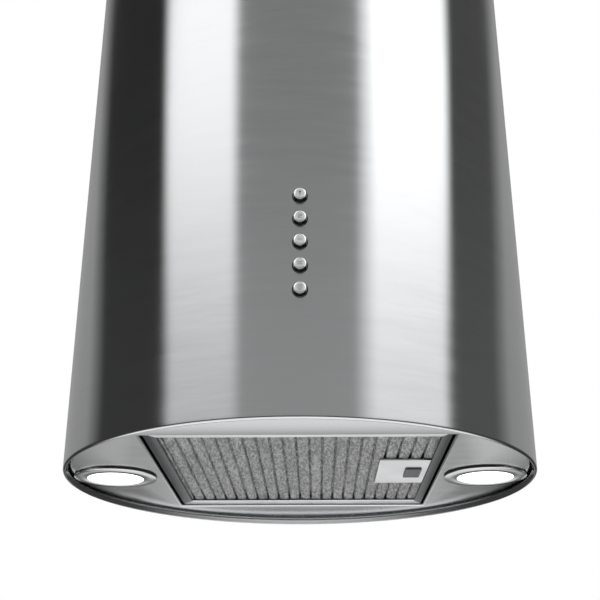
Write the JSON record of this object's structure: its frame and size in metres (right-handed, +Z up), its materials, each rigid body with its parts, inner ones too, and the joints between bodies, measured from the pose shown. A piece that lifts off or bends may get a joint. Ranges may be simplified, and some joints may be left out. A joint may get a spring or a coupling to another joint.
{
  "type": "island range hood",
  "caption": "Cylindrical island range hood hung on telescoping angle legs, with a sliding upper sleeve, push buttons, lamps, a hinged grease filter and a centrifugal blower.",
  "frame": {"origin": "centre of the ceiling plate's top face, where the hood hangs", "axes": "+Z up along the cylinder's axis, front with the push buttons towards -Y, +X to the right"},
  "size_m": [0.3496, 0.3552, 0.88],
  "materials": {
    "brushed_steel": "satin, brushed round the cylinder",
    "panel_steel": "fine satin",
    "zinc_steel": "zinc plated, dull",
    "bolt_steel": "bright zinc",
    "chrome_plate": "polished",
    "filter_aluminium": "satin anodised",
    "filter_mesh": "expanded mesh",
    "lamp_diffuser": "frosted",
    "circuit_board": "solder mask",
    "black_plastic": "moulded",
    "grey_plastic": "moulded"
  },
  "bodies": {
    "ceiling_frame": {"ceiling_plate": "zinc_steel", "upper_leg_front_left": "zinc_steel", "upper_leg_front_right": "zinc_steel", "upper_leg_rear_right": "zinc_steel", "upper_leg_rear_left": "zinc_steel", "sleeve_bracket_left": "zinc_steel", "sleeve_bracket_right": "zinc_steel"},
    "sleeve": {"upper_sleeve": "brushed_steel", "sleeve_screw_left": "bolt_steel", "sleeve_screw_right": "bolt_steel"},
    "hood": {"lower_shell": "brushed_steel", "bottom_plate": "panel_steel", "base_frame": "zinc_steel", "lower_leg_front_left": "zinc_steel", "lower_leg_front_right": "zinc_steel", "lower_leg_rear_right": "zinc_steel", "lower_leg_rear_left": "zinc_steel", "leg_bolt_front_left": "bolt_steel", "leg_bolt_front_right": "bolt_steel", "leg_bolt_rear_right": "bolt_steel", "leg_bolt_rear_left": "bolt_steel", "lamp_bezel_left": "panel_steel", "lamp_lens_left": "lamp_diffuser", "lamp_board_left": "circuit_board", "lamp_can_left": "filter_aluminium", "lamp_bezel_right": "panel_steel", "lamp_lens_right": "lamp_diffuser", "lamp_board_right": "circuit_board", "lamp_can_right": "filter_aluminium", "button_bezel_1": "black_plastic", "button_bezel_2": "black_plastic", "button_bezel_3": "black_plastic", "button_bezel_4": "black_plastic", "button_bezel_5": "black_plastic", "switch_block": "black_plastic", "blower_housing_left": "grey_plastic", "blower_housing_right": "grey_plastic", "blower_bracket_front": "zinc_steel", "blower_bracket_rear": "zinc_steel", "motor": "zinc_steel", "motor_mount": "zinc_steel", "outlet_collar": "black_plastic", "damper_pin": "zinc_steel", "control_box": "black_plastic", "control_lid": "black_plastic", "cable_gland": "black_plastic"},
    "filter": {"filter_frame": "filter_aluminium", "filter_core": "filter_mesh", "latch_plate": "filter_aluminium"},
    "latch": {"latch_slider": "grey_plastic"},
    "button_1": {"button_cap_1": "chrome_plate"},
    "button_2": {"button_cap_2": "chrome_plate"},
    "button_3": {"button_cap_3": "chrome_plate"},
    "button_4": {"button_cap_4": "chrome_plate"},
    "button_5": {"button_cap_5": "chrome_plate"},
    "impeller": {"wheel_disc": "black_plastic", "wheel_cage": "black_plastic"},
    "damper_left": {"damper_flap_left": "grey_plastic"},
    "damper_right": {"damper_flap_right": "grey_plastic"}
  },
  "joints": [
    {"name": "height_adjust", "type": "slide", "parent": "ceiling_frame", "child": "hood", "axis": [0, 0, -1], "range_m": [-0.12, 0.12]},
    {"name": "sleeve_drop", "type": "slide", "parent": "ceiling_frame", "child": "sleeve", "axis": [0, 0, -1], "range_m": [0, 0.1]},
    {"name": "filter_swing", "type": "hinge", "parent": "hood", "child": "filter", "pos_m": [-0.1014, 0, -0.8711], "axis": [0, 1, 0], "range_deg": [0, 80]},
    {"name": "latch_slide", "type": "slide", "parent": "filter", "child": "latch", "axis": [-1, 0, 0], "range_m": [0, 0.005], "stiffness_N_per_m": 500, "springref_m": -0.002},
    {"name": "button_1_press", "type": "slide", "parent": "hood", "child": "button_1", "axis": [0, 1, 0], "range_m": [0, 0.0025], "stiffness_N_per_m": 600, "springref_m": -0.001},
    {"name": "button_2_press", "type": "slide", "parent": "hood", "child": "button_2", "axis": [0, 1, 0], "range_m": [0, 0.0025], "stiffness_N_per_m": 600, "springref_m": -0.001},
    {"name": "button_3_press", "type": "slide", "parent": "hood", "child": "button_3", "axis": [0, 1, 0], "range_m": [0, 0.0025], "stiffness_N_per_m": 600, "springref_m": -0.001},
    {"name": "button_4_press", "type": "slide", "parent": "hood", "child": "button_4", "axis": [0, 1, 0], "range_m": [0, 0.0025], "stiffness_N_per_m": 600, "springref_m": -0.001},
    {"name": "button_5_press", "type": "slide", "parent": "hood", "child": "button_5", "axis": [0, 1, 0], "range_m": [0, 0.0025], "stiffness_N_per_m": 600, "springref_m": -0.001},
    {"name": "impeller_spin", "type": "hinge", "parent": "hood", "child": "impeller", "pos_m": [0, -0.02, -0.665], "axis": [1, 0, 0], "continuous": true},
    {"name": "damper_left_swing", "type": "hinge", "parent": "hood", "child": "damper_left", "pos_m": [-0.0032, 0, -0.46], "axis": [0, 1, 0], "range_deg": [0, 75]},
    {"name": "damper_right_swing", "type": "hinge", "parent": "hood", "child": "damper_right", "pos_m": [0.0032, 0, -0.46], "axis": [0, -1, 0], "range_deg": [0, 75]}
  ]
}
